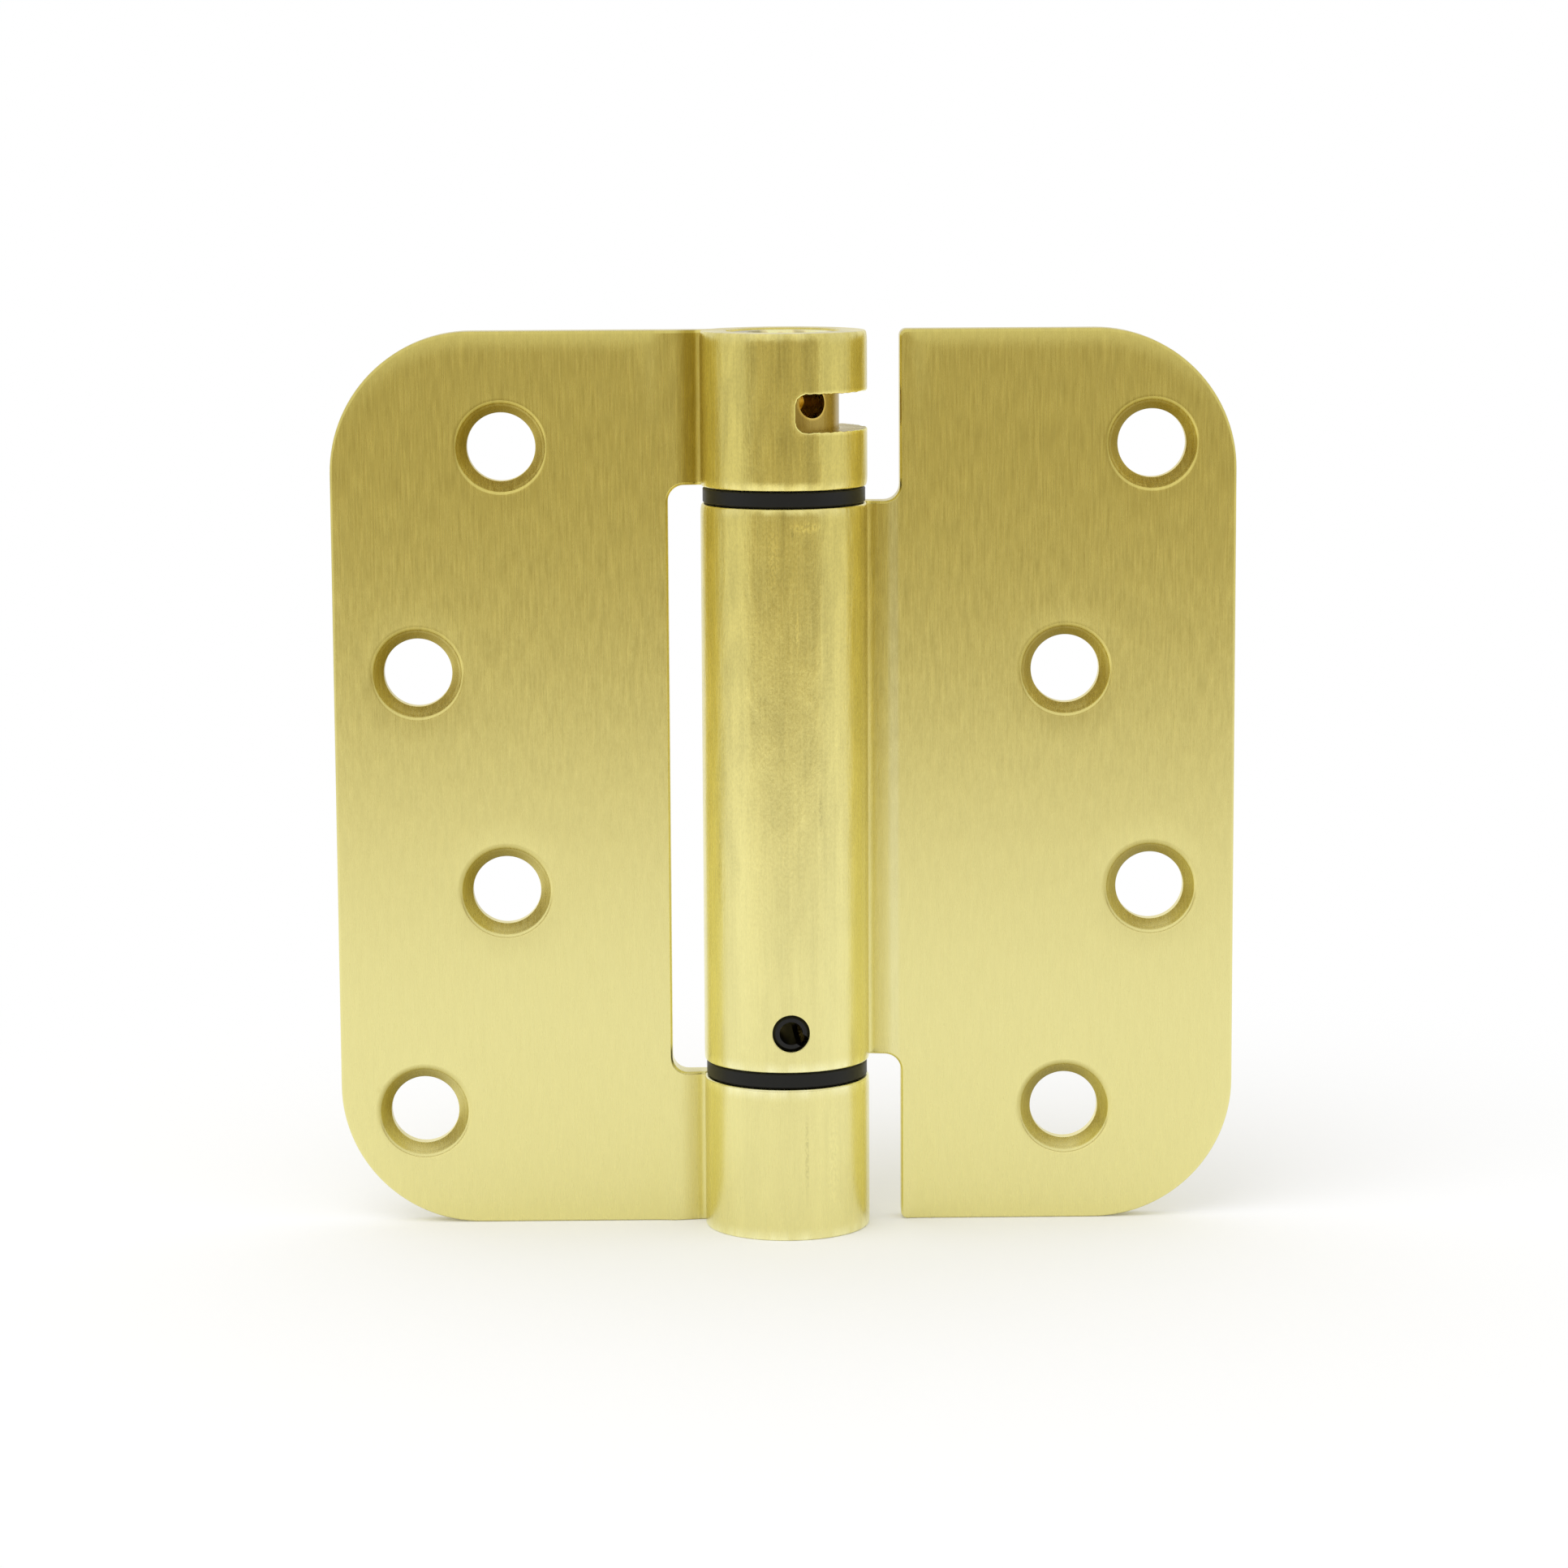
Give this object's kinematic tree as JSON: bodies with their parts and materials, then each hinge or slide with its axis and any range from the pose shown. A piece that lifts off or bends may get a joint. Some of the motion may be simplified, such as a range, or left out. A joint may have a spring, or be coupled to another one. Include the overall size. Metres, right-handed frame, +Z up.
{
  "type": "self-closing hinge",
  "caption": "Full-mortise spring butt hinge with round leaf corners, an adjustable coil spring in the barrel and countersunk screw holes.",
  "frame": {"origin": "on the barrel axis, at mid height of the open hinge, which is also the centre of its box", "axes": "+Z up along the barrel axis, +X across the open hinge towards the door leaf, +Y from the countersunk faces to the backs that seat on the door and the frame"},
  "size_m": [0.1016, 0.0186, 0.1016],
  "materials": {
    "leaf_brass": "satin brass plate, brushed lengthwise",
    "plug_brass": "satin brass plate on turned steel",
    "spring_steel": "oiled spring wire",
    "black_steel": "black oxide",
    "washer_nylon": "matt black nylon"
  },
  "bodies": {
    "frame_leaf": {"frame_leaf": "leaf_brass", "upper_washer": "washer_nylon", "lower_washer": "washer_nylon"},
    "door_leaf": {"door_leaf": "leaf_brass", "anchor_plug": "plug_brass", "spring_pin": "black_steel", "torsion_spring": "spring_steel"},
    "adjusting_plug": {"adjusting_plug": "plug_brass"}
  },
  "joints": [
    {"name": "leaf_swing", "type": "hinge", "parent": "frame_leaf", "child": "door_leaf", "pos_m": [0, 0, 0], "axis": [0, 0, 1], "range_deg": [-180, 90], "deforming": ["torsion_spring"]},
    {"name": "plug_turn", "type": "hinge", "parent": "frame_leaf", "child": "adjusting_plug", "pos_m": [0, 0, 0], "axis": [0, 0, 1], "range_deg": [-270, 0], "deforming": ["torsion_spring"]}
  ]
}
